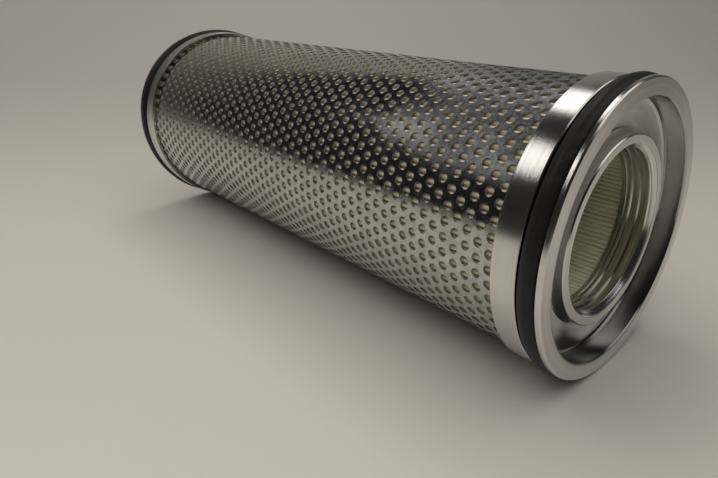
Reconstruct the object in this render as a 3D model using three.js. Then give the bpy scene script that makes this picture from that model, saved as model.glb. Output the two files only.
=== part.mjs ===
// A compressed air filter element lying on its side: a pleated cylinder inside a perforated support
// tube, bonded into two turned end caps that each carry a seal. Millimetres, +Z up.
// The axis runs along X and the open end faces +X.
import * as THREE from "three";

// Overall
const SEGMENTS = 48;
const LENGTH = 403.0;
const FIT_GAP = 0.3;

// End caps: distances along the axis are counted inwards from the outer face of each cap
const RIM_RADIUS = 75.0;
const RIM_FACE_RADIUS = 74.3;
const RIM_CHAMFER = 0.7;
const RIM_BACK = 2.55;
const GROOVE_FLOOR_RADIUS = 67.5;
const GROOVE_BACK = 12.9;
const SKIRT_RADIUS = 74.25;
const SKIRT_END = 25.6;
const RECESS_MOUTH_RADIUS = 66.0;
const RECESS_FLOOR_RADIUS = 66.9;
const RECESS_DEPTH = 13.0;
const PLATE_BACK = 16.0;

// Neck in the middle of the open cap
const NECK_RADIUS = 48.6;
const NECK_FACE = 5.1;
const NECK_FACE_RADIUS = 47.7;
const NECK_EDGE = 6.2;
const NECK_END = 22.6;
const NECK_LIP_RADIUS = 44.1;
const NECK_LIP_END = 5.6;
const NECK_CHAMFER_RADIUS = 43.8;
const NECK_CHAMFER_END = 8.1;
const BORE_RADIUS = 41.3;
const BORE_GROOVE_RADIUS = 42.7;
const BORE_GROOVES = [[10.3, 13.2], [15.0, 17.8]];

// Seals: an oval section that fills the cap groove and stands a little proud of the rim
const SEAL_RADIUS = 75.9;
const SEAL_SECTION_POINTS = 8;

// Support tube
const TUBE_RADIUS = 71.5;
const TUBE_WALL = 1.0;

// Pleated filter medium
const PLEATS = 112;
const PLEAT_INNER_RADIUS = 45.5;
const PLEAT_OUTER_RADIUS = 69.2;
const MEDIUM_THICKNESS = 0.7;
const SEAM_HALF_ANGLE = 0.0083;

// Seam clip over the two free edges of the medium
const CLIP_INNER_HALF_WIDTH = 1.23;
const CLIP_WALL = 0.4;
const CLIP_BOTTOM_RADIUS = 62.0;
const CLIP_TOP_RADIUS = 69.95;

// Bonding resin that holds the pleats and the tube in each cap
const RESIN_END = 24.5;
const CLOSED_RESIN_INNER_RADIUS = 46.0;

const AXIS_HEIGHT = SEAL_RADIUS * Math.cos(Math.PI / SEGMENTS);
const PACK_START = RESIN_END + FIT_GAP;
const PACK_LENGTH = LENGTH - 2 * PACK_START;

function signedVolume(geometry) {
  const flat = geometry.index ? geometry.toNonIndexed() : geometry;
  const position = flat.getAttribute("position");
  const [a, b, c] = [new THREE.Vector3(), new THREE.Vector3(), new THREE.Vector3()];
  let sum = 0;
  for (let i = 0; i < position.count; i += 3) {
    a.fromBufferAttribute(position, i);
    b.fromBufferAttribute(position, i + 1);
    c.fromBufferAttribute(position, i + 2);
    sum += a.dot(b.cross(c)) / 6;
  }
  return sum;
}

// Turns a closed loop of [distance from the open face, radius] points about the cartridge's axis
function turned(points) {
  const loop = points.map(([depth, radius]) => new THREE.Vector2(radius, LENGTH / 2 - depth));
  const geometry = new THREE.LatheGeometry(loop, SEGMENTS, Math.PI / SEGMENTS);
  geometry.rotateZ(-Math.PI / 2);
  if (signedVolume(geometry) < 0) {
    geometry.index.array.reverse();
  }
  geometry.translate(0, 0, AXIS_HEIGHT);
  return geometry;
}

function closedLoop(points) {
  return [...points, points[0]];
}

// The same outline read from the other end of the cartridge
function fromClosedEnd(points) {
  return points.map(([depth, radius]) => [LENGTH - depth, radius]);
}

// Pulls a flat outline of [across, up] points along the axis, over the length of the pleats
function pulled(points) {
  const shape = new THREE.Shape(points.map(([across, up]) => new THREE.Vector2(across, up)));
  const geometry = new THREE.ExtrudeGeometry(shape, { depth: PACK_LENGTH, bevelEnabled: false });
  geometry.translate(0, 0, -PACK_LENGTH / 2);
  geometry.rotateX(Math.PI / 2);
  geometry.rotateZ(Math.PI / 2);
  geometry.translate(0, 0, AXIS_HEIGHT);
  return geometry;
}

// Rim, seal groove and skirt, from the recess mouth round to the back of the end plate
function capOutside() {
  return [
    [RECESS_DEPTH, RECESS_FLOOR_RADIUS],
    [0, RECESS_MOUTH_RADIUS],
    [0, RIM_FACE_RADIUS],
    [RIM_CHAMFER, RIM_RADIUS],
    [RIM_BACK, RIM_RADIUS],
    [RIM_BACK, GROOVE_FLOOR_RADIUS],
    [GROOVE_BACK, GROOVE_FLOOR_RADIUS],
    [GROOVE_BACK, SKIRT_RADIUS],
    [SKIRT_END, SKIRT_RADIUS],
    [SKIRT_END, TUBE_RADIUS + FIT_GAP],
    [PLATE_BACK, TUBE_RADIUS + FIT_GAP],
  ];
}

// Raised neck with a chamfered mouth and two shallow grooves inside it
function neck() {
  const points = [
    [PLATE_BACK, NECK_RADIUS],
    [NECK_END, NECK_RADIUS],
    [NECK_END, BORE_RADIUS],
  ];
  for (const [front, back] of [...BORE_GROOVES].reverse()) {
    points.push([back, BORE_RADIUS], [back, BORE_GROOVE_RADIUS]);
    points.push([front, BORE_GROOVE_RADIUS], [front, BORE_RADIUS]);
  }
  points.push([NECK_CHAMFER_END, BORE_RADIUS], [NECK_LIP_END, NECK_CHAMFER_RADIUS]);
  points.push([NECK_LIP_END, NECK_LIP_RADIUS], [NECK_FACE, NECK_LIP_RADIUS]);
  points.push([NECK_FACE, NECK_FACE_RADIUS]);
  points.push([NECK_EDGE, NECK_RADIUS], [RECESS_DEPTH, NECK_RADIUS]);
  return points;
}

function openCap() {
  return turned(closedLoop([...capOutside(), ...neck()]));
}

function closedCap() {
  return turned(fromClosedEnd([[RECESS_DEPTH, 0], ...capOutside(), [PLATE_BACK, 0]]));
}

function sealOutline() {
  const halfWidth = (GROOVE_BACK - RIM_BACK) / 2 - FIT_GAP;
  const halfHeight = (SEAL_RADIUS - GROOVE_FLOOR_RADIUS - FIT_GAP) / 2;
  const flats = Math.cos(Math.PI / SEAL_SECTION_POINTS);
  const points = [];
  for (let i = 0; i < SEAL_SECTION_POINTS; i += 1) {
    const angle = ((i + 0.5) * 2 * Math.PI) / SEAL_SECTION_POINTS;
    points.push([
      (RIM_BACK + GROOVE_BACK) / 2 + (halfWidth * Math.cos(angle)) / flats,
      SEAL_RADIUS - halfHeight + (halfHeight * Math.sin(angle)) / flats,
    ]);
  }
  return closedLoop(points);
}

function supportTube() {
  const start = PLATE_BACK + FIT_GAP;
  const inner = TUBE_RADIUS - TUBE_WALL;
  return turned(closedLoop([
    [start, inner],
    [start, TUBE_RADIUS],
    [LENGTH - start, TUBE_RADIUS],
    [LENGTH - start, inner],
  ]));
}

function resinOutline(innerRadius) {
  const start = PLATE_BACK + FIT_GAP;
  const outerRadius = TUBE_RADIUS - TUBE_WALL - FIT_GAP;
  return closedLoop([
    [start, innerRadius],
    [start, outerRadius],
    [RESIN_END, outerRadius],
    [RESIN_END, innerRadius],
  ]);
}

// A point of the cross-section at a radius and an angle from straight down, moved sideways
function sectionPoint(radius, angle, sideways) {
  return [
    radius * Math.sin(angle) + sideways * Math.cos(angle),
    sideways * Math.sin(angle) - radius * Math.cos(angle),
  ];
}

// Zigzag of the medium: radial legs joined in turn at the inner and at the outer radius.
// The outline runs along the outer side of the sheet and comes back along its inner side.
function pleatOutline() {
  const legs = 2 * PLEATS;
  const step = (2 * Math.PI - 2 * SEAM_HALF_ANGLE) / (legs - 1);
  const half = MEDIUM_THICKNESS / 2;
  const outerSide = [];
  const innerSide = [];
  for (let leg = 0; leg < legs; leg += 1) {
    const angle = SEAM_HALF_ANGLE + leg * step;
    const isFreeEdge = leg === 0 || leg === legs - 1;
    const innerTop = isFreeEdge ? PLEAT_OUTER_RADIUS : PLEAT_OUTER_RADIUS - MEDIUM_THICKNESS;
    const outerPair = [PLEAT_OUTER_RADIUS, PLEAT_INNER_RADIUS + MEDIUM_THICKNESS];
    const innerPair = [innerTop, PLEAT_INNER_RADIUS];
    const side = leg % 2 === 0 ? half : -half;
    if (leg % 2 === 1) {
      outerPair.reverse();
      innerPair.reverse();
    }
    outerSide.push(...outerPair.map((radius) => sectionPoint(radius, angle, side)));
    innerSide.push(...innerPair.map((radius) => sectionPoint(radius, angle, -side)));
  }
  return [...outerSide, ...innerSide.reverse()];
}

// Channel that straddles the two free edges, open towards the axis
function clipOutline() {
  const inner = CLIP_INNER_HALF_WIDTH;
  const outer = inner + CLIP_WALL;
  return [
    [-outer, -CLIP_BOTTOM_RADIUS],
    [-outer, -CLIP_TOP_RADIUS],
    [outer, -CLIP_TOP_RADIUS],
    [outer, -CLIP_BOTTOM_RADIUS],
    [inner, -CLIP_BOTTOM_RADIUS],
    [inner, CLIP_WALL - CLIP_TOP_RADIUS],
    [-inner, CLIP_WALL - CLIP_TOP_RADIUS],
    [-inner, -CLIP_BOTTOM_RADIUS],
  ];
}

const cartridge = new THREE.Group();
cartridge.name = "air_filter_element";

function addPiece(name, geometry, color, roughness, metalness) {
  const material = new THREE.MeshStandardMaterial({ color, roughness, metalness });
  material.name = name;
  const mesh = new THREE.Mesh(geometry, material);
  mesh.name = name;
  cartridge.add(mesh);
}

const openResin = resinOutline(NECK_RADIUS + FIT_GAP);
const closedResin = fromClosedEnd(resinOutline(CLOSED_RESIN_INNER_RADIUS));

addPiece("open_end_cap", openCap(), 0xc9cac8, 0.3, 1.0);
addPiece("closed_end_cap", closedCap(), 0xc9cac8, 0.3, 1.0);
addPiece("open_end_seal", turned(sealOutline()), 0x131313, 0.45, 0.0);
addPiece("closed_end_seal", turned(fromClosedEnd(sealOutline())), 0x131313, 0.45, 0.0);
addPiece("outer_support_tube", supportTube(), 0xa7abac, 0.4, 1.0);
addPiece("pleated_filter_medium", pulled(pleatOutline()), 0xcfc7a4, 0.85, 0.0);
addPiece("medium_seam_clip", pulled(clipOutline()), 0x9c9e9f, 0.4, 1.0);
addPiece("open_end_bonding_resin", turned(openResin), 0xb9ae8c, 0.55, 0.0);
addPiece("closed_end_bonding_resin", turned(closedResin), 0xb9ae8c, 0.55, 0.0);

export default cartridge;
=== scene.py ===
"""A compressed air filter element: pleats in a perforated tube between two turned end caps."""

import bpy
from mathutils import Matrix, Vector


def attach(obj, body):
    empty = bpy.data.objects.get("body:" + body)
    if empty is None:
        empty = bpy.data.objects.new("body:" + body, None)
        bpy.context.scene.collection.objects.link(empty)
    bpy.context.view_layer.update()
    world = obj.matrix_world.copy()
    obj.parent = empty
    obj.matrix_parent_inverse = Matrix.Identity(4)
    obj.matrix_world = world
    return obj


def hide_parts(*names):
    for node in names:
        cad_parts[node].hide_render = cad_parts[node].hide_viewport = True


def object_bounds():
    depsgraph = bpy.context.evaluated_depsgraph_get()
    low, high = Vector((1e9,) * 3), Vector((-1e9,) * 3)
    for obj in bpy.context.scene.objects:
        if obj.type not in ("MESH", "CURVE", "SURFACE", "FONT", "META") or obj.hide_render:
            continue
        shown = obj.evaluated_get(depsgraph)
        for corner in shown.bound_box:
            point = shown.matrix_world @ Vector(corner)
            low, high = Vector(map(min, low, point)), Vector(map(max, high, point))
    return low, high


bl_info = {
    "name": "Air Filter Element",
    "version": (1, 0, 0),
    "blender": (4, 5, 0),
    "location": "View3D > Sidebar > Filter",
    "description": "Builds the pieces of a pleated air filter element and the stage it lies on",
    "category": "Object",
}

import math

import bmesh
import bpy
from bpy.props import FloatProperty, FloatVectorProperty, IntProperty, PointerProperty

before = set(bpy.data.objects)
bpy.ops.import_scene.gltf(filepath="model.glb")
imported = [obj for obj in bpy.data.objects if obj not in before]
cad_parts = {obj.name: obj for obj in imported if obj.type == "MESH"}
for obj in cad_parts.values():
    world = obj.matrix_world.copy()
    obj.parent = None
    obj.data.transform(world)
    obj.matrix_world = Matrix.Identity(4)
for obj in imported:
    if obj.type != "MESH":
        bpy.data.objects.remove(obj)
CAD_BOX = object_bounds()

MM = 0.001
LOW, HIGH = CAD_BOX
OPEN_FACE = HIGH[0]
CLOSED_FACE = LOW[0]
AXIS_HEIGHT = (LOW[2] + HIGH[2]) / 2
SMALLEST_RADIUS = 1e-6
MERGE_DISTANCE = 4e-6
SHARP_EDGE = math.radians(25)
ROUNDING_STEPS = 3

# Where the finishes change: distances from the axis
BORE_EDGE = (42.5 * MM, 43.5 * MM)
RECESS_WALL_INSIDE = (65.3 * MM, 65.8 * MM)
RECESS_WALL_OUTSIDE = (67.0 * MM, 67.4 * MM)
SHEET_RADIUS = 71.5 * MM
# Painted shade on the pleats grows between these radii
MEDIUM_SHADE_SPAN = (52 * MM, 64 * MM)
# Distances above the paper (for the painted shade on the recess wall), above the axis, along the
# axis and along the paper (for the painted shade on the paper)
WALL_SHADE_HEIGHT = (45 * MM, 115 * MM)
HANDLED_HEIGHT = (28 * MM, 44 * MM)
HANDLED_ALONG = (OPEN_FACE - 113.5 * MM, OPEN_FACE - 69.5 * MM)
PAPER_SHADE_SPAN = (-250 * MM, 580 * MM)


# ---------------------------------------------------------------- sizes and colours

class FilterSizes(bpy.types.PropertyGroup):
    """Sizes of the element that can be changed without changing how it fits together"""
    turning_steps: IntProperty(
        name="Turning steps", description="Flats round each turned piece",
        default=192, min=48, max=256)
    edge_radius: FloatProperty(
        name="Edge radius", description="Rounding left on the turned edges",
        default=0.15 * MM, min=0.05 * MM, max=1.0 * MM, precision=5, subtype='DISTANCE')
    tube_radius: FloatProperty(
        name="Tube radius", description="Outer radius of the support tube",
        default=71.5 * MM, min=60 * MM, max=71.6 * MM, precision=5, subtype='DISTANCE')
    tube_wall: FloatProperty(
        name="Tube wall", description="Sheet thickness of the support tube",
        default=0.8 * MM, min=0.4 * MM, max=1.0 * MM, precision=5, subtype='DISTANCE')
    hole_diameter: FloatProperty(
        name="Hole diameter", description="Diameter of each punched hole",
        default=4.9 * MM, min=2 * MM, max=6 * MM, precision=5, subtype='DISTANCE')
    holes_round: IntProperty(
        name="Holes round", description="Holes in each ring of the support tube",
        default=59, min=40, max=70)
    ring_pitch: FloatProperty(
        name="Ring pitch", description="Distance from one ring of holes to the next",
        default=6.54 * MM, min=6 * MM, max=9 * MM, precision=5, subtype='DISTANCE')
    pleats: IntProperty(
        name="Pleats", description="Pleats round the filter medium", default=112, min=60, max=130)
    medium_thickness: FloatProperty(
        name="Medium thickness", description="Thickness of the pleated sheet",
        default=0.55 * MM, min=0.2 * MM, max=0.7 * MM, precision=5, subtype='DISTANCE')


def colour_property(name, description, default):
    return FloatVectorProperty(
        name=name, description=description, default=default, size=3, min=0.0, max=1.0,
        subtype='COLOR')


class FilterColours(bpy.types.PropertyGroup):
    """Base colours of the finishes"""
    turned_metal: colour_property("Turned metal", "Bright turned end caps", (0.74, 0.73, 0.71))
    galvanised: colour_property("Galvanised sheet", "Support tube", (0.52, 0.54, 0.52))
    rubber: colour_property("Rubber", "Seals", (0.012, 0.012, 0.012))
    medium: colour_property("Filter medium", "Pleated sheet", (0.94, 0.87, 0.69))
    resin: colour_property("Resin", "Bonding resin in the caps", (0.50, 0.44, 0.31))
    clip_metal: colour_property("Clip metal", "Seam clip", (0.55, 0.56, 0.56))
    paper: colour_property("Stage paper", "Floor and backdrop", (0.72, 0.69, 0.64))


# ---------------------------------------------------------------- shader maths

class Wire:
    """A socket that Python expressions can be written on; each operation adds one Math node"""

    def __init__(self, finish, socket):
        self.finish = finish
        self.socket = socket

    def maths(self, operation, *values):
        inputs = dict(enumerate(values))
        return self.finish.node("ShaderNodeMath", {"operation": operation}, inputs)

    def __add__(self, other):
        return self.maths('ADD', self, other)

    def __sub__(self, other):
        return self.maths('SUBTRACT', self, other)

    def __rsub__(self, other):
        return self.maths('SUBTRACT', other, self)

    def __mul__(self, other):
        return self.maths('MULTIPLY', self, other)

    def __pow__(self, other):
        return self.maths('POWER', self, other)

    __radd__ = __add__
    __rmul__ = __mul__


class Finish:
    """One material, its main shader, and one way of adding any other node"""

    def __init__(self, name, colour, roughness, metallic=0.0, **fixed):
        self.material = bpy.data.materials.new(name)
        self.material.use_nodes = True
        self.tree = self.material.node_tree
        self.shader = self.tree.nodes["Principled BSDF"]
        self.colour = (*colour, 1.0)
        self.set("Base Color", self.colour)
        self.set("Roughness", roughness)
        self.set("Metallic", metallic)
        for socket, value in fixed.items():
            self.set(socket.replace("_", " "), value)
        self.material.diffuse_color = self.colour

    def node(self, kind, settings=None, inputs=None, output=0):
        node = self.tree.nodes.new(kind)
        for key, value in (settings or {}).items():
            setattr(node, key, value)
        for key, value in (inputs or {}).items():
            self.feed(node.inputs[key], value)
        return Wire(self, node.outputs[output])

    def feed(self, socket, value):
        if isinstance(value, Wire):
            self.tree.links.new(value.socket, socket)
        else:
            socket.default_value = value

    def set(self, name, value):
        self.feed(self.shader.inputs[name], value)

    def position(self):
        return self.node("ShaderNodeTexCoord", output="Object")

    def split(self, vector):
        node = self.node("ShaderNodeSeparateXYZ", None, {0: vector}).socket.node
        return [Wire(self, socket) for socket in node.outputs]

    def join(self, x, y, z):
        return self.node("ShaderNodeCombineXYZ", None, {0: x, 1: y, 2: z})

    def around_axis(self):
        """Distance along the cartridge, distance from its axis, and the angle round it"""
        x, y, z = self.split(self.position())
        up = z - AXIS_HEIGHT
        radius = (y * y + up * up) ** 0.5
        return x, radius, radius.maths('ARCTAN2', y, up)

    def noise(self, vector, scale, detail=3.0, roughness=0.5):
        return self.node("ShaderNodeTexNoise", None, {
            "Vector": vector, "Scale": scale, "Detail": detail, "Roughness": roughness})

    def ramp(self, value, start, end, low=0.0, high=1.0):
        """Low up to the start, high from the end on, and a straight slope between them"""
        return self.node("ShaderNodeMapRange", None, {
            "Value": value, "From Min": start, "From Max": end,
            "To Min": low, "To Max": high})

    def blend(self, factor, first, second, mode='MIX'):
        settings = {"data_type": 'RGBA', "blend_type": mode}
        return self.node("ShaderNodeMix", settings, {0: factor, 6: first, 7: second}, output=2)

    def bump(self, height, strength, distance):
        normal = self.node("ShaderNodeBump", None, {
            "Height": height, "Strength": strength, "Distance": distance})
        self.set("Normal", normal)


def shade_of(colour, factor):
    return (*(min(1.0, part * factor) for part in colour[:3]), 1.0)


def turned_metal(name, colour):
    """Bright aluminium from the lathe: feed lines round the axis, streaks along the cut, a coarser
    bore, and painted shade on the recess wall, darker low down"""
    finish = Finish(name, colour, roughness=0.2, metallic=1.0)
    x, radius, angle = finish.around_axis()
    feed = finish.join(x, radius, 0.0)
    fine = finish.noise(feed, scale=2600.0, detail=2.0)
    broad = finish.noise(feed, scale=420.0)
    smudge = finish.noise(finish.position(), scale=22.0, detail=4.0, roughness=0.6)
    around = finish.join(x * 900.0, radius * 900.0, angle * 3.0)
    scratch = finish.noise(around, scale=1.0, detail=2.0, roughness=0.4)
    streak = finish.ramp(scratch, 0.62, 0.72)
    dull = finish.ramp(smudge, 0.45, 0.75)
    finish.set("Roughness", 0.12 + broad * 0.06 + fine * 0.04 + dull * 0.06 + streak * 0.05)
    tone = finish.ramp(broad * 0.6 + smudge * 0.4, 0.3, 0.7)
    outside = finish.blend(tone, shade_of(colour, 0.84), shade_of(colour, 1.08))
    bore_lines = finish.noise(finish.join(x, 0.0, angle * 0.0006), scale=1300.0)
    chatter = finish.ramp(bore_lines, 0.4, 0.6)
    inside = finish.blend(chatter, shade_of(colour, 0.5), shade_of(colour, 1.3))
    in_bore = finish.ramp(radius, *BORE_EDGE, low=1.0, high=0.0)
    turned = finish.blend(in_bore, outside, inside)
    # Painted shade: the recess wall is painted darker, most of all low down
    height = finish.split(finish.position())[2]
    low_down = finish.ramp(height, *WALL_SHADE_HEIGHT, low=1.0, high=0.0)
    painted_wall_shade = finish.blend(low_down, shade_of(colour, 0.8), shade_of(colour, 0.4))
    past_floor = finish.ramp(radius, *RECESS_WALL_INSIDE)
    on_wall = past_floor * finish.ramp(radius, *RECESS_WALL_OUTSIDE, low=1.0, high=0.0)
    finish.set("Base Color", finish.blend(on_wall, turned, painted_wall_shade))
    finish.bump(fine * 0.6 + broad * 0.4 + streak * 0.1, strength=0.8, distance=0.1 * MM)
    return finish.material


def galvanised_sheet(name, colour):
    """Zinc-coated sheet with a faint crystal pattern and rolling lines, scuffed dull on its upper
    side near the open cap"""
    finish = Finish(name, colour, roughness=0.24, metallic=1.0)
    x, radius, angle = finish.around_axis()
    sheet = finish.join(x, angle * SHEET_RADIUS, radius)
    warp = finish.noise(sheet, scale=160.0)
    moved = finish.node("ShaderNodeVectorMath", {"operation": 'ADD'}, {
        0: sheet, 1: finish.join(warp * 0.003, warp * 0.002, 0.0)})
    crystals = finish.node("ShaderNodeTexVoronoi", None, {
        "Vector": moved, "Scale": 330.0}, output="Color")
    grain = finish.split(crystals)[0]
    rolled = finish.noise(finish.join(x * 60.0, angle * 70.0, 0.0), scale=6.0, roughness=0.6)
    patch = finish.noise(sheet, scale=38.0, detail=4.0, roughness=0.6)
    fleck = finish.ramp(finish.noise(sheet, scale=900.0, detail=2.0), 0.6, 0.75)
    above_axis = radius * angle.maths('COSINE', angle)
    handled = finish.ramp(x, *HANDLED_ALONG) * finish.ramp(above_axis, *HANDLED_HEIGHT)
    dull = handled * finish.ramp(patch, 0.35, 0.6, low=0.75)
    finish.set("Roughness", 0.05 + grain * 0.07 + patch * 0.10 + fleck * 0.08 + dull * 0.46)
    tone = finish.ramp(grain * 0.35 + patch * 0.4 + rolled * 0.25, 0.25, 0.75)
    zinc = finish.blend(tone, shade_of(colour, 0.8), shade_of(colour, 1.15))
    scuff = finish.ramp(finish.noise(sheet, scale=420.0, detail=4.0, roughness=0.65), 0.42, 0.62)
    scuffed = finish.blend(scuff, shade_of(colour, 0.26), shade_of(colour, 0.85))
    finish.set("Base Color", finish.blend(dull * 0.85, zinc, scuffed))
    relief = grain * 0.5 + rolled * 0.6 + patch * 0.5 + dull * fleck * 0.6
    finish.bump(relief, strength=0.28, distance=0.08 * MM)
    return finish.material


def seal_rubber(name, colour):
    """Moulded black rubber with a light bloom of dust"""
    finish = Finish(name, colour, roughness=0.4, Specular_IOR_Level=0.3)
    place = finish.position()
    dust_colour = (0.06, 0.057, 0.052, 1.0)
    dust_and_painted_shade = finish.ramp(finish.noise(place, scale=260.0, detail=4.0, roughness=0.65), 0.52, 0.78)
    wipe = finish.noise(place, scale=24.0)
    skin = finish.noise(place, scale=1500.0, detail=2.0)
    finish.set("Base Color", finish.blend(dust_and_painted_shade * 0.35, finish.colour, dust_colour))
    finish.set("Roughness", 0.34 + wipe * 0.16 + dust_and_painted_shade * 0.18)
    finish.bump(skin * 0.7 + dust_and_painted_shade * 0.3, strength=0.25, distance=0.05 * MM)
    return finish.material


def filter_medium(name, colour):
    """Fibrous pleated sheet: a fine weave of fibres, with painted shade darkening it towards the
    outside
    """
    finish = Finish(name, colour, roughness=0.85, Sheen_Weight=0.15, Sheen_Roughness=0.6)
    x, radius, angle = finish.around_axis()
    place = finish.position()
    fibres = finish.noise(place, scale=1400.0, detail=4.0, roughness=0.7)
    cloud = finish.noise(place, scale=60.0, detail=4.0, roughness=0.6)
    lengthwise = finish.noise(
        finish.join(x * 50.0, angle * 400.0, radius * 300.0), scale=1.0)
    tone = finish.ramp(fibres * 0.35 + cloud * 0.4 + lengthwise * 0.25, 0.32, 0.68)
    mottled = finish.blend(tone, shade_of(colour, 0.82), shade_of(colour, 1.1))
    # Painted shade: the pleats are painted darker from the inner radius outwards, standing in for
    # the shade inside the support tube
    dust_and_painted_shade = finish.ramp(radius, *MEDIUM_SHADE_SPAN, high=0.4)
    finish.set("Base Color", finish.blend(dust_and_painted_shade, mottled, shade_of(colour, 0.5)))
    finish.bump(fibres * 0.7 + lengthwise * 0.5, strength=0.5, distance=0.12 * MM)
    return finish.material


def cast_resin(name, colour):
    """Poured resin with a slightly uneven, satin skin"""
    finish = Finish(name, colour, roughness=0.45, Subsurface_Weight=0.08)
    place = finish.position()
    flow = finish.noise(place, scale=45.0, detail=4.0, roughness=0.55)
    pits = finish.ramp(finish.noise(place, scale=700.0, detail=2.0), 0.62, 0.8)
    tone = finish.ramp(flow, 0.3, 0.7)
    finish.set("Base Color", finish.blend(tone, shade_of(colour, 0.85), shade_of(colour, 1.15)))
    finish.set("Roughness", 0.38 + flow * 0.2)
    finish.bump(flow - pits * 0.4, strength=0.4, distance=0.3 * MM)
    return finish.material


def clip_metal(name, colour):
    """Plain bright strip folded lengthwise"""
    finish = Finish(name, colour, roughness=0.3, metallic=1.0)
    x, y, z = finish.split(finish.position())
    drawn = finish.noise(finish.join(x * 30.0, y * 4000.0, z * 4000.0), scale=1.0)
    stain = finish.noise(finish.position(), scale=70.0, detail=4.0)
    finish.set("Roughness", 0.24 + drawn * 0.12 + stain * 0.12)
    finish.set("Base Color", finish.blend(stain, shade_of(colour, 0.85), shade_of(colour, 1.1)))
    finish.bump(drawn, strength=0.3, distance=0.04 * MM)
    return finish.material


def stage_paper(name, colour, turn):
    """Matt warm paper with a barely visible tooth, and painted shade that darkens it along its
    length
    """
    finish = Finish(name, colour, roughness=0.62, Specular_IOR_Level=0.25)
    place = finish.position()
    tooth = finish.noise(place, scale=700.0)
    cloud = finish.noise(place, scale=3.0)
    x, y = finish.split(place)[:2]
    along = x * math.cos(turn) + y * math.sin(turn)
    sheet = finish.blend(cloud, shade_of(colour, 0.97), shade_of(colour, 1.03))
    # Painted shade: the paper is painted darker away from the camera and up the backdrop
    painted_falloff = finish.ramp(along, *PAPER_SHADE_SPAN)
    finish.set("Base Color", finish.blend(painted_falloff, sheet, shade_of(colour, 0.68)))
    finish.bump(tooth, strength=0.1, distance=0.1 * MM)
    return finish.material


# ---------------------------------------------------------------- bench work

def clear_selection():
    bpy.ops.object.select_all(action='DESELECT')


def edit(piece):
    bpy.context.view_layer.objects.active = piece
    bpy.ops.object.mode_set(mode='EDIT')


def select_vertices(piece, wanted):
    """In edit mode, selects the vertices whose place in the piece passes the test"""
    mesh = bmesh.from_edit_mesh(piece.data)
    bpy.ops.mesh.select_all(action='DESELECT')
    for vertex in mesh.verts:
        vertex.select = wanted(vertex.co)
    mesh.select_flush_mode()
    bmesh.update_edit_mesh(piece.data)


def settle(piece, name):
    """Leaves edit mode and moves the piece's place into its mesh"""
    if piece.mode == 'EDIT':
        bpy.ops.object.mode_set(mode='OBJECT')
    bpy.ops.object.transform_apply(location=True, rotation=True, scale=True)
    piece.name = name
    piece.data.name = name


def merge_and_face_out():
    bpy.ops.mesh.select_all(action='SELECT')
    bpy.ops.mesh.remove_doubles(threshold=MERGE_DISTANCE)
    bpy.ops.mesh.normals_make_consistent(inside=False)


def add_modifier(piece, kind, **settings):
    modifier = piece.modifiers.new(kind.title(), kind)
    for key, value in settings.items():
        setattr(modifier, key, value)
    return modifier


def apply_modifiers(piece):
    clear_selection()
    piece.select_set(True)
    bpy.context.view_layer.objects.active = piece
    for modifier in list(piece.modifiers):
        bpy.ops.object.modifier_apply(modifier=modifier.name)


def fit(piece, material, node):
    """Gives the finished piece its finish and its place in the frame"""
    piece.data.materials.clear()
    piece.data.materials.append(material)
    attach(piece, "root")
    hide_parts(node)


def turn(name, outline, steps):
    """Turns an outline of (along, radius) points: a ring is extruded and resized point by point.
    The last point joins the first, except where both lie on the axis."""
    rings = [(along, max(radius, SMALLEST_RADIUS)) for along, radius in outline]
    if outline[0][1] > 0:
        rings.append(rings[0])
    along, radius = rings[0]
    clear_selection()
    bpy.ops.mesh.primitive_circle_add(
        vertices=steps, radius=radius, fill_type='NOTHING',
        location=(along, 0, AXIS_HEIGHT), rotation=(0, math.pi / 2, 0))
    piece = bpy.context.active_object
    edit(piece)
    bpy.ops.mesh.select_all(action='SELECT')
    for next_along, next_radius in rings[1:]:
        bpy.ops.mesh.extrude_edges_move(
            TRANSFORM_OT_translate={"value": (next_along - along, 0, 0)})
        growth = next_radius / radius
        bpy.ops.transform.resize(
            value=(1, growth, growth), center_override=(next_along, 0, AXIS_HEIGHT))
        along, radius = next_along, next_radius
    merge_and_face_out()
    settle(piece, name)
    return piece


def round_edges(piece, width):
    """Rounds every turned edge and keeps the flats flat in the light"""
    bpy.ops.object.shade_smooth()
    add_modifier(piece, 'BEVEL', width=width, segments=ROUNDING_STEPS, limit_method='ANGLE',
                 angle_limit=SHARP_EDGE, harden_normals=True, use_clamp_overlap=True)
    apply_modifiers(piece)


def from_open_face(points):
    return [(OPEN_FACE - depth * MM, radius * MM) for depth, radius in points]


def from_closed_face(points):
    return [(CLOSED_FACE + depth * MM, radius * MM) for depth, radius in points]


# Depth behind the cap's outer face, and radius, in millimetres
CAP_OUTSIDE = [
    (13.0, 64.4), (12.7, 65.4), (11.9, 66.3), (10.6, 66.8), (0.7, 66.0), (0.0, 66.4),
    (0.0, 74.3), (0.7, 75.0), (2.55, 75.0),
    (2.55, 67.5), (12.9, 67.5), (12.9, 73.7), (13.4, 74.25), (25.2, 74.25), (25.6, 73.9),
    (25.6, 71.8), (16.0, 71.8),
]
NECK_INSIDE = [
    (16.0, 48.6), (22.6, 48.6), (22.6, 41.3), (20.3, 41.3), (20.1, 41.7), (19.8, 41.3),
    (17.8, 41.3), (17.5, 42.7), (15.2, 42.7), (15.0, 41.3), (13.2, 41.3), (12.9, 42.7),
    (10.5, 42.7), (10.3, 41.3), (8.1, 41.3), (5.6, 43.8), (5.5, 44.1), (5.1, 44.1),
    (5.1, 47.9), (5.8, 48.6), (11.0, 48.6),
    (12.0, 49.0), (12.7, 49.8), (13.0, 51.0),
]
CLOSED_FLOOR = (13.0, 0.0)
CLOSED_BACK = (16.0, 0.0)


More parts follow.
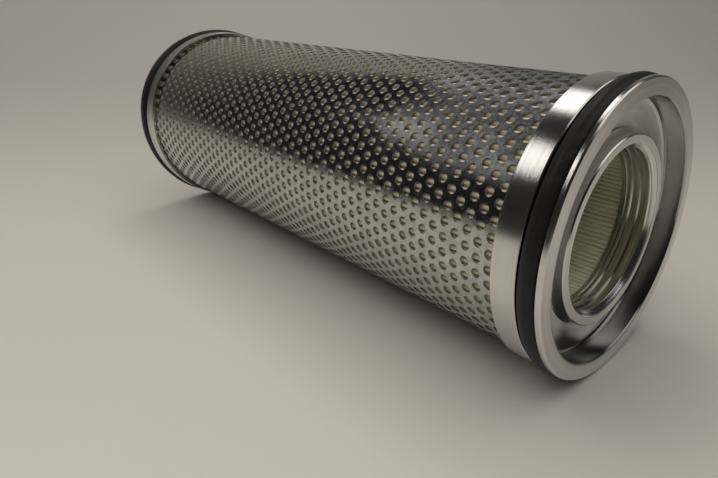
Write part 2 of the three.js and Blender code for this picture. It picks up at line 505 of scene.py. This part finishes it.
class FILTER_OT_end_caps(bpy.types.Operator):
    """Turn the open cap with its neck and the closed cap with its plain floor"""
    bl_idname = "filter_element.end_caps"
    bl_label = "End caps"

    def execute(self, context):
        sizes = context.scene.filter_sizes
        metal = turned_metal("turned_metal", context.scene.filter_colours.turned_metal)
        open_cap = turn(
            "open_end_cap_turned", from_open_face(CAP_OUTSIDE + NECK_INSIDE), sizes.turning_steps)
        round_edges(open_cap, sizes.edge_radius)
        fit(open_cap, metal, "open_end_cap")
        closed_cap = turn(
            "closed_end_cap_turned",
            from_closed_face([CLOSED_FLOOR, *CAP_OUTSIDE, CLOSED_BACK]), sizes.turning_steps)
        round_edges(closed_cap, sizes.edge_radius)
        fit(closed_cap, metal, "closed_end_cap")
        return {'FINISHED'}


class FILTER_OT_seals(bpy.types.Operator):
    """Mould the two rubber seals: rings squeezed to an oval, with a faint parting line"""
    bl_idname = "filter_element.seals"
    bl_label = "Seals"

    outer_radius = 75.9 * MM
    half_height = 4.05 * MM
    half_width = 4.87 * MM
    centre_depth = 7.72 * MM
    section_steps = 28
    parting_line_depth = 0.02 * MM
    parting_line_rise = 0.06 * MM

    def execute(self, context):
        rubber = seal_rubber("seal_rubber", context.scene.filter_colours.rubber)
        steps = context.scene.filter_sizes.turning_steps
        places = {
            "open_end_seal": OPEN_FACE - self.centre_depth,
            "closed_end_seal": CLOSED_FACE + self.centre_depth,
        }
        for node, along in places.items():
            piece = self.mould(node + "_moulded", along, steps)
            fit(piece, rubber, node)
        return {'FINISHED'}

    def mould(self, name, along, steps):
        clear_selection()
        bpy.ops.mesh.primitive_torus_add(
            location=(along, 0, AXIS_HEIGHT), rotation=(0, math.pi / 2, 0),
            major_segments=steps, minor_segments=self.section_steps,
            major_radius=self.outer_radius - self.half_height, minor_radius=self.half_height)
        piece = bpy.context.active_object
        edit(piece)
        bpy.ops.mesh.select_all(action='SELECT')
        squeeze = self.half_width / self.half_height
        bpy.ops.transform.resize(
            value=(squeeze, 1, 1), center_override=(along, 0, AXIS_HEIGHT))
        crest = self.outer_radius - self.parting_line_depth
        select_vertices(piece, lambda place: math.hypot(place.x, place.y) > crest)
        growth = 1 + self.parting_line_rise / self.outer_radius
        bpy.ops.transform.resize(
            value=(1, growth, growth), center_override=(along, 0, AXIS_HEIGHT))
        merge_and_face_out()
        settle(piece, name)
        bpy.ops.object.shade_smooth()
        return piece


class FILTER_OT_support_tube(bpy.types.Operator):
    """Punch one cell of the sheet, repeat it, roll the sheet into a tube and give it its wall"""
    bl_idname = "filter_element.support_tube"
    bl_label = "Support tube"

    hole_sides = 12
    first_ring_depth = 28.6 * MM
    hidden_rings = 3
    end_depth = 16.3 * MM
    sharp_edge = math.radians(35)

    def execute(self, context):
        sizes = context.scene.filter_sizes
        pitch = 2 * math.pi * sizes.tube_radius / sizes.holes_round
        length = OPEN_FACE - CLOSED_FACE
        start = self.first_ring_depth - self.hidden_rings * sizes.ring_pitch
        rings = math.ceil((length - self.end_depth - start) / sizes.ring_pitch) + 1
        piece = self.punch_cell(pitch, sizes)
        self.repeat(piece, pitch, sizes, rings)
        self.roll(piece, sizes, OPEN_FACE - start)
        sheet = galvanised_sheet("galvanised_sheet", context.scene.filter_colours.galvanised)
        fit(piece, sheet, "outer_support_tube")
        return {'FINISHED'}

    def punch_cell(self, pitch, sizes):
        """Four neighbouring holes on the flat, and the five webs of sheet that belong to one"""
        corners = {
            "here": (0.0, 0.0),
            "beside": (pitch, 0.0),
            "ahead": (pitch / 2, sizes.ring_pitch),
            "ahead_back": (-pitch / 2, sizes.ring_pitch),
        }
        radius = sizes.hole_diameter / 2
        clear_selection()
        bpy.ops.mesh.primitive_circle_add(
            vertices=self.hole_sides, radius=radius, fill_type='NOTHING')
        piece = bpy.context.active_object
        edit(piece)
        for x, y in list(corners.values())[1:]:
            bpy.ops.mesh.primitive_circle_add(
                vertices=self.hole_sides, radius=radius, fill_type='NOTHING', location=(x, y, 0))
        half_side = 180 / self.hole_sides
        for x, y in corners.values():
            select_vertices(piece, lambda place: math.dist(place[:2], (x, y)) < radius * 1.01)
            bpy.ops.transform.rotate(
                value=math.radians(half_side), orient_axis='Z', center_override=(x, y, 0))
        webs = [
            [("here", 0), ("beside", 180)],
            [("here", 60), ("ahead", 240)],
            [("here", 120), ("ahead_back", 300)],
            [("here", 30), ("beside", 150), ("ahead", 270)],
            [("here", 90), ("ahead", 210), ("ahead_back", 330)],
        ]
        for web in webs:
            places = [
                self.rim_point(corners[hole], radius, facing + side)
                for hole, facing in web for side in (-half_side, half_side)]
            select_vertices(piece, lambda place: any(
                math.dist(place[:2], wanted) < radius * 0.05 for wanted in places))
            bpy.ops.mesh.edge_face_add()
        bpy.ops.mesh.select_all(action='SELECT')
        bpy.ops.mesh.delete_loose(use_verts=True, use_edges=True, use_faces=False)
        bpy.ops.object.mode_set(mode='OBJECT')
        return piece

    @staticmethod
    def rim_point(centre, radius, degrees):
        angle = math.radians(degrees)
        return (centre[0] + radius * math.cos(angle), centre[1] + radius * math.sin(angle))

    def repeat(self, piece, pitch, sizes, rings):
        """One ring of holes, then ring after ring, each moved on by half a pitch"""
        merging = {"use_merge_vertices": True, "merge_threshold": MERGE_DISTANCE,
                   "use_relative_offset": False, "use_constant_offset": True}
        add_modifier(piece, 'ARRAY', count=sizes.holes_round,
                     constant_offset_displace=(pitch, 0, 0), **merging)
        apply_modifiers(piece)
        add_modifier(piece, 'ARRAY', count=rings,
                     constant_offset_displace=(pitch / 2, sizes.ring_pitch, 0), **merging)
        apply_modifiers(piece)
        edit(piece)
        merge_and_face_out()
        bpy.ops.object.mode_set(mode='OBJECT')
        piece.rotation_euler.x = math.pi / 2
        bpy.ops.object.transform_apply(location=True, rotation=True, scale=True)

    def roll(self, piece, sizes, start_along):
        """Bends the flat sheet to a closed tube, lays it on the axis and cuts its ends square"""
        places = [vertex.co for vertex in piece.data.vertices]
        width = max(place.x for place in places) - min(place.x for place in places)
        add_modifier(piece, 'SIMPLE_DEFORM', deform_method='BEND', deform_axis='Z',
                     angle=width / sizes.tube_radius)
        apply_modifiers(piece)
        piece.rotation_euler.y = -math.pi / 2
        piece.location = (start_along, -sizes.tube_radius, AXIS_HEIGHT)
        bpy.ops.object.transform_apply(location=True, rotation=True, scale=True)
        edit(piece)
        ends = ((OPEN_FACE - self.end_depth, 1), (CLOSED_FACE + self.end_depth, -1))
        for along, outwards in ends:
            bpy.ops.mesh.select_all(action='SELECT')
            bpy.ops.mesh.bisect(plane_co=(along, 0, AXIS_HEIGHT), plane_no=(outwards, 0, 0),
                                clear_outer=True)
        merge_and_face_out()
        bpy.ops.object.mode_set(mode='OBJECT')
        bpy.ops.object.shade_smooth()
        add_modifier(piece, 'SOLIDIFY', thickness=sizes.tube_wall, offset=-1, use_even_offset=True,
                     use_rim=True)
        apply_modifiers(piece)
        bpy.ops.object.shade_smooth_by_angle(angle=self.sharp_edge)
        piece.name = piece.data.name = "outer_support_tube_punched"


class FILTER_OT_pleats(bpy.types.Operator):
    """Fold one pleat, repeat it round the axis, and open the seam where the free edges meet"""
    bl_idname = "filter_element.pleats"
    bl_label = "Pleats"

    inner_radius = 45.6 * MM
    outer_radius = 70.1 * MM
    seam_half_angle = 0.019
    start_depth = 24.8 * MM
    trimmed_share = 0.36
    ripple_size = 12 * MM
    ripple_height = 0.35 * MM
    sharp_edge = math.radians(50)
    # Place across one pleat in quarters of its pitch, and radius as a share of its depth
    fold = [
        (-2.0, 1.0), (-1.4, 0.992), (-0.85, 0.966), (-0.45, 0.92), (-0.3, 0.86), (-1.7, 0.12),
        (-1.55, 0.06), (-1.1, 0.022), (-0.6, 0.006), (0.0, 0.0), (0.6, 0.006), (1.1, 0.022),
        (1.55, 0.06), (1.7, 0.12), (0.3, 0.86), (0.45, 0.92), (0.85, 0.966), (1.4, 0.992),
        (2.0, 1.0),
    ]
    slices = 12

    def execute(self, context):
        sizes = context.scene.filter_sizes
        leg_step = (2 * math.pi - 2 * self.seam_half_angle) / (2 * sizes.pleats - 1)
        piece = self.fold_one(leg_step)
        self.repeat(piece, sizes, leg_step)
        self.thicken(piece, sizes)
        medium = filter_medium("filter_medium", context.scene.filter_colours.medium)
        fit(piece, medium, "pleated_filter_medium")
        return {'FINISHED'}

    def fold_one(self, leg_step):
        """A flat strip whose lengthwise lines are moved out to the shape of the fold"""
        length = OPEN_FACE - CLOSED_FACE - 2 * self.start_depth
        columns = len(self.fold) - 1
        clear_selection()
        bpy.ops.mesh.primitive_grid_add(
            x_subdivisions=self.slices, y_subdivisions=columns, size=1,
            location=(0, 0, AXIS_HEIGHT))
        piece = bpy.context.active_object
        edit(piece)
        bpy.ops.mesh.select_all(action='SELECT')
        bpy.ops.transform.resize(
            value=(length, 1, 1), center_override=(0, 0, AXIS_HEIGHT))
        first_angle = self.seam_half_angle + leg_step / 2
        for number, (quarter, share) in enumerate(self.fold):
            line = number / columns - 0.5
            radius = self.inner_radius + share * (self.outer_radius - self.inner_radius)
            angle = first_angle + quarter * leg_step / 2
            select_vertices(piece, lambda place: abs(place.y - line) < 0.2 / columns
                            and abs(place.z) < 1e-6)
            bpy.ops.transform.translate(value=(
                0, radius * math.sin(angle) - line, -radius * math.cos(angle)))
        bpy.ops.object.mode_set(mode='OBJECT')
        return piece

    def repeat(self, piece, sizes, leg_step):
        edit(piece)
        bpy.ops.mesh.select_all(action='SELECT')
        bpy.ops.mesh.spin(
            steps=sizes.pleats - 1, dupli=True, angle=2 * leg_step * (sizes.pleats - 1),
            center=(0, 0, AXIS_HEIGHT), axis=(1, 0, 0))
        bpy.ops.mesh.select_all(action='SELECT')
        bpy.ops.mesh.remove_doubles(threshold=MERGE_DISTANCE)
        edge = math.sin(self.seam_half_angle - leg_step * self.trimmed_share)
        select_vertices(piece, lambda place: place.z < 0
                        and abs(place.y) < edge * math.hypot(place.y, place.z))
        bpy.ops.mesh.delete(type='VERT')
        bpy.ops.mesh.select_all(action='SELECT')
        bpy.ops.mesh.normals_make_consistent(inside=False)
        settle(piece, "pleated_filter_medium_folded")

    def thicken(self, piece, sizes):
        """A slight unevenness from pleat to pleat, then the sheet's thickness"""
        ripple = bpy.data.textures.new("pleat_ripple", 'CLOUDS')
        ripple.noise_scale = self.ripple_size
        add_modifier(piece, 'DISPLACE', texture=ripple, texture_coords='LOCAL',
                     direction='NORMAL', mid_level=0.5, strength=self.ripple_height)
        add_modifier(piece, 'SOLIDIFY', thickness=sizes.medium_thickness, offset=0,
                     use_even_offset=False, use_rim=True)
        apply_modifiers(piece)
        bpy.ops.object.shade_smooth_by_angle(angle=self.sharp_edge)


class FILTER_OT_resin(bpy.types.Operator):
    """Pour the resin rings that hold the pleats and the tube in the caps"""
    bl_idname = "filter_element.resin"
    bl_label = "Bonding resin"

    edge_radius = 0.5 * MM
    # Depth behind the cap's outer face, and radius, in millimetres
    outer_side = [(16.3, 70.2), (24.1, 70.2), (24.5, 66.0)]
    open_ring = [(16.3, 48.9), *outer_side, (24.4, 53.0), (23.6, 48.9)]
    closed_ring = [(16.3, 46.0), *outer_side, (24.4, 50.0), (23.6, 46.0)]

    def execute(self, context):
        resin = cast_resin("cast_resin", context.scene.filter_colours.resin)
        steps = context.scene.filter_sizes.turning_steps
        rings = {
            "open_end_bonding_resin": from_open_face(self.open_ring),
            "closed_end_bonding_resin": from_closed_face(self.closed_ring),
        }
        for node, outline in rings.items():
            piece = turn(node + "_poured", outline, steps)
            round_edges(piece, self.edge_radius)
            fit(piece, resin, node)
        return {'FINISHED'}


class FILTER_OT_seam_clip(bpy.types.Operator):
    """Finish the clip that closes the free edges of the medium"""
    bl_idname = "filter_element.seam_clip"
    bl_label = "Seam clip"

    def execute(self, context):
        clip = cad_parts["medium_seam_clip"]
        clip.data.materials.clear()
        clip.data.materials.append(
            clip_metal("clip_metal", context.scene.filter_colours.clip_metal))
        return {'FINISHED'}


class FILTER_OT_stage(bpy.types.Operator):
    """Lay the paper floor and its sweep, and set the camera, the lamps and the dim room"""
    bl_idname = "filter_element.stage"
    bl_label = "Stage"

    # The view: distances from the middle of the open face, in rim radii, and degrees
    camera_place = (1.2805, -3.322, 1.448)
    camera_turn = 136.334
    camera_tilt = -22.359
    lens = 27.694
    shift = (-0.0424, -0.0294)
    nearest_seen = 10 * MM
    rim_radius = 75 * MM
    # The lamps, in metres and watts
    lamp_distance = 1.5
    lamp_colour = (1.0, 0.97, 0.92)
    fill_place = (0.08, -0.52, 1.35)
    fill_width = 2.6
    fill_power = 24.3
    room_colour = (0.018, 0.0175, 0.016, 1.0)
    # The paper, in metres
    paper_length = 2.2
    paper_width = 5.0
    backdrop_height = 1.1
    sweep_radius = 0.8
    sweep_steps = 32
    gap_under_element = 0.2 * MM

    def execute(self, context):
        self.lay_paper(context.scene.filter_colours.paper)
        self.set_camera(context)
        self.set_lamp("left_lamp", turn=-139, tilt=46.5, width=0.52, power=1.3)
        self.set_lamp("back_lamp", turn=143, tilt=56, width=0.50, power=1.5)
        self.set_lamp("right_panel", turn=44, tilt=55, width=1.2, power=4.0, lights_paper=False)
        self.set_soft_fill()
        self.dim_room(context)
        return {'FINISHED'}

    def lay_paper(self, colour):
        """A floor whose far side curves up into a backdrop"""
        clear_selection()
        bpy.ops.mesh.primitive_plane_add(size=1)
        paper = bpy.context.active_object
        edit(paper)
        bpy.ops.mesh.select_all(action='SELECT')
        bpy.ops.transform.resize(
            value=(self.paper_length, self.paper_width, 1), center_override=(0, 0, 0))
        select_vertices(paper, lambda place: place.x > 0)
        bpy.ops.mesh.extrude_edges_move(
            TRANSFORM_OT_translate={"value": (0, 0, self.backdrop_height)})
        select_vertices(
            paper, lambda place: place.x > 0 and place.z < self.backdrop_height / 2)
        bpy.ops.mesh.bevel(
            offset=self.sweep_radius, segments=self.sweep_steps, affect='EDGES')
        bpy.ops.object.mode_set(mode='OBJECT')
        paper.rotation_euler.z = math.radians(self.camera_turn)
        paper.location.z = -self.gap_under_element
        settle(paper, "paper_sweep")
        bpy.ops.object.shade_smooth()
        paper.data.materials.append(
            stage_paper("stage_paper", colour, math.radians(self.camera_turn)))

    def set_camera(self, context):
        x, y, z = (share * self.rim_radius for share in self.camera_place)
        tilt = math.radians(90 + self.camera_tilt)
        bpy.ops.object.camera_add(
            location=(OPEN_FACE + x, y, AXIS_HEIGHT + z),
            rotation=(tilt, 0, math.radians(self.camera_turn - 90)))
        camera = bpy.context.active_object
        camera.data.lens = self.lens
        camera.data.shift_x, camera.data.shift_y = self.shift
        camera.data.clip_start = self.nearest_seen
        context.scene.camera = camera

    def add_lamp(self, name, place, rotation, width, power):
        bpy.ops.object.light_add(type='AREA', location=place, rotation=rotation)
        lamp = bpy.context.active_object
        lamp.name = name
        lamp.data.shape = 'SQUARE'
        lamp.data.size = width
        lamp.data.energy = power
        lamp.data.color = self.lamp_colour
        return lamp

    def set_lamp(self, name, turn, tilt, width, power, lights_paper=True):
        """A square lamp that faces the open face, or a panel that is only seen mirrored"""
        across, up = math.radians(turn), math.radians(tilt)
        reach = self.lamp_distance
        place = (OPEN_FACE + reach * math.cos(up) * math.cos(across),
                 reach * math.cos(up) * math.sin(across), AXIS_HEIGHT + reach * math.sin(up))
        lamp = self.add_lamp(name, place, (0, math.pi / 2 - up, across), width, power)
        lamp.visible_diffuse = lights_paper

    def set_soft_fill(self):
        """A wide, even light from above that gives no highlight of its own"""
        fill = self.add_lamp(
            "soft_fill", self.fill_place, (0, 0, 0), self.fill_width, self.fill_power)
        fill.visible_glossy = False

    def dim_room(self, context):
        world = bpy.data.worlds.new("dim_room")
        world.use_nodes = True
        background = world.node_tree.nodes["Background"]
        background.inputs["Color"].default_value = self.room_colour
        background.inputs["Strength"].default_value = 1.0
        context.scene.world = world
        context.scene.view_settings.view_transform = 'Standard'


class FILTER_PT_panel(bpy.types.Panel):
    """Sizes, colours and the steps that build the element"""
    bl_idname = "FILTER_PT_panel"
    bl_label = "Air Filter Element"
    bl_space_type = 'VIEW_3D'
    bl_region_type = 'UI'
    bl_category = "Filter"

    def draw(self, context):
        for settings in (context.scene.filter_sizes, context.scene.filter_colours):
            box = self.layout.box()
            for name in settings.bl_rna.properties.keys():
                if name not in {"rna_type", "name"}:
                    box.prop(settings, name)
        for operator in STEPS:
            self.layout.operator(operator.bl_idname)


STEPS = (
    FILTER_OT_stage,
    FILTER_OT_end_caps,
    FILTER_OT_seals,
    FILTER_OT_support_tube,
    FILTER_OT_pleats,
    FILTER_OT_resin,
    FILTER_OT_seam_clip,
)
CLASSES = (FilterSizes, FilterColours, *STEPS, FILTER_PT_panel)


def register():
    for cls in CLASSES:
        bpy.utils.register_class(cls)
    bpy.types.Scene.filter_sizes = PointerProperty(type=FilterSizes)
    bpy.types.Scene.filter_colours = PointerProperty(type=FilterColours)


def unregister():
    del bpy.types.Scene.filter_colours
    del bpy.types.Scene.filter_sizes
    for cls in reversed(CLASSES):
        bpy.utils.unregister_class(cls)


def main():
    register()
    for step in (
            bpy.ops.filter_element.stage,
            bpy.ops.filter_element.end_caps,
            bpy.ops.filter_element.seals,
            bpy.ops.filter_element.support_tube,
            bpy.ops.filter_element.pleats,
            bpy.ops.filter_element.resin,
            bpy.ops.filter_element.seam_clip):
        step()


if __name__ == "__main__":
    main()
